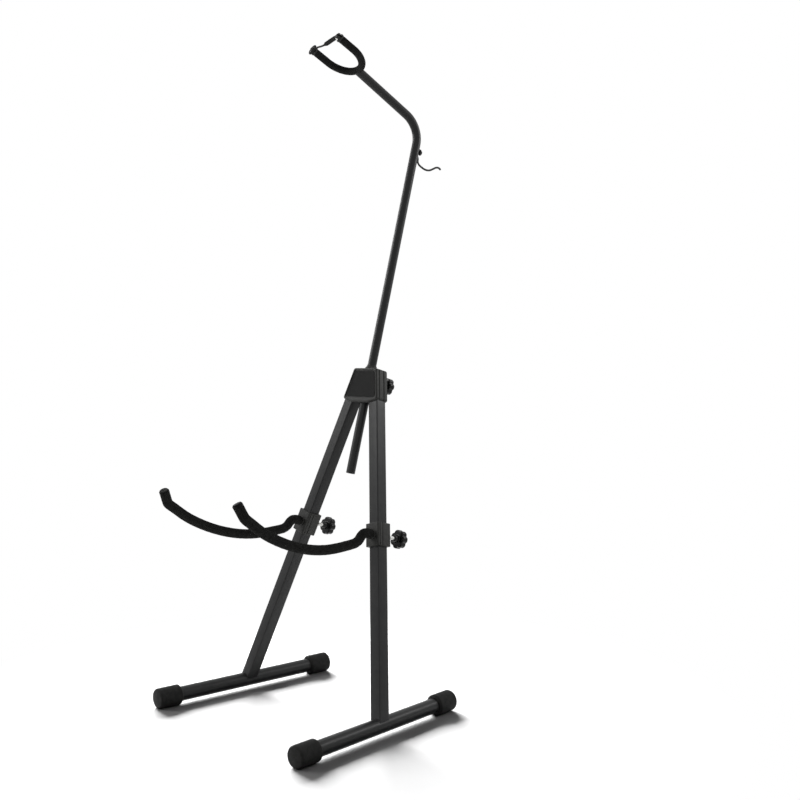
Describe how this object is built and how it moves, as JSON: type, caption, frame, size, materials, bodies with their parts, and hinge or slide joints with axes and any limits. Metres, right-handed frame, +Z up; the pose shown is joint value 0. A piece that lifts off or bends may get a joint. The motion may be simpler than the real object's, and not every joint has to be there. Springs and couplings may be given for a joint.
{
  "type": "double bass stand",
  "caption": "Folding floor stand for a double bass: square legs on long foot bars, padded arms on sliding sleeves, and a bent neck tube with a padded yoke and a bow hook.",
  "frame": {"origin": "on the floor, under the middle of the stand's bounding box", "axes": "+Z up, -Y towards the side where the bass stands, +X towards the leg on the right seen from there"},
  "size_m": [0.5192, 0.6864, 1.4616],
  "materials": {
    "powder_coat": "satin black powder coat",
    "moulding": "fine grained black moulding",
    "knob_plastic": "glossy black",
    "foam": "matt closed-cell foam",
    "rubber": "matt textured rubber",
    "zinc": "bright zinc plating"
  },
  "bodies": {
    "casing": {"casing_front_shell": "moulding", "right_casing_band": "moulding", "left_casing_band": "moulding", "casing_back_shell": "moulding", "right_casing_screw": "zinc", "left_casing_screw": "zinc", "right_pivot_bolt": "zinc", "left_pivot_bolt": "zinc", "right_pivot_nut": "zinc", "left_pivot_nut": "zinc", "neck_guide": "moulding", "neck_clamp_nut": "zinc"},
    "neck_clamp": {"neck_knob": "knob_plastic", "neck_clamp_screw": "zinc"},
    "collar": {"neck_collar": "moulding"},
    "neck": {"neck_tube": "powder_coat", "yoke_fork": "powder_coat", "yoke_foam": "foam", "right_yoke_cap": "moulding", "left_yoke_cap": "moulding", "strap_rivet": "zinc", "bow_hook_screw": "moulding"},
    "strap": {"neck_strap": "rubber"},
    "hook": {"bow_hook": "powder_coat"},
    "right_leg": {"right_leg_tube": "powder_coat", "right_foot_bar": "powder_coat", "right_front_foot_cap": "rubber", "right_rear_foot_cap": "rubber"},
    "right_arm": {"right_arm_sleeve": "moulding", "right_arm_clamp_nut": "zinc", "right_arm_rod": "powder_coat", "right_arm_foam": "foam", "right_arm_plug": "rubber"},
    "right_arm_clamp": {"right_arm_knob": "knob_plastic", "right_arm_clamp_screw": "zinc"},
    "left_leg": {"left_leg_tube": "powder_coat", "left_foot_bar": "powder_coat", "left_front_foot_cap": "rubber", "left_rear_foot_cap": "rubber"},
    "left_arm": {"left_arm_sleeve": "moulding", "left_arm_clamp_nut": "zinc", "left_arm_rod": "powder_coat", "left_arm_foam": "foam", "left_arm_plug": "rubber"},
    "left_arm_clamp": {"left_arm_knob": "knob_plastic", "left_arm_clamp_screw": "zinc"}
  },
  "joints": [
    {"name": "right_leg_fold", "type": "hinge", "parent": "casing", "child": "right_leg", "pos_m": [0.0296, 0.116, 0.69981], "axis": [0, 0.9694, -0.2453], "range_deg": [0, 15.4]},
    {"name": "left_leg_fold", "type": "hinge", "parent": "casing", "child": "left_leg", "pos_m": [-0.0296, 0.116, 0.69981], "axis": [0, -0.9694, 0.2453], "range_deg": [0, 15.4]},
    {"name": "neck_swivel", "type": "hinge", "parent": "casing", "child": "collar", "pos_m": [0, 0.11688, 0.69959], "axis": [0, 0.2639, 0.9646], "continuous": true},
    {"name": "neck_height", "type": "slide", "parent": "collar", "child": "neck", "axis": [0, 0.2639, 0.9646], "range_m": [-0.44, 0.15]},
    {"name": "neck_clamp_turn", "type": "hinge", "parent": "casing", "child": "neck_clamp", "pos_m": [0, 0.11846, 0.70951], "axis": [0, 0.9694, -0.2453], "continuous": true},
    {"name": "strap_swing", "type": "hinge", "parent": "neck", "child": "strap", "pos_m": [0.01274, 0.01838, 1.4533], "axis": [0.0286, 0.4646, 0.8851], "range_deg": [0, 110]},
    {"name": "hook_swing", "type": "hinge", "parent": "neck", "child": "hook", "pos_m": [0, 0.2665, 1.24652], "axis": [0.1323, 0.9561, -0.2616], "range_deg": [-90, 90]},
    {"name": "right_arm_height", "type": "slide", "parent": "right_leg", "child": "right_arm", "axis": [-0.2656, 0.2365, 0.9346], "range_m": [-0.25, 0.22]},
    {"name": "left_arm_height", "type": "slide", "parent": "left_leg", "child": "left_arm", "axis": [0.2656, 0.2365, 0.9346], "range_m": [-0.25, 0.22]},
    {"name": "right_arm_clamp_turn", "type": "hinge", "parent": "right_arm", "child": "right_arm_clamp", "pos_m": [0.11978, 0.03569, 0.38244], "axis": [0, 0.9694, -0.2453], "continuous": true},
    {"name": "left_arm_clamp_turn", "type": "hinge", "parent": "left_arm", "child": "left_arm_clamp", "pos_m": [-0.11863, 0.03671, 0.38646], "axis": [0, 0.9694, -0.2453], "continuous": true}
  ]
}
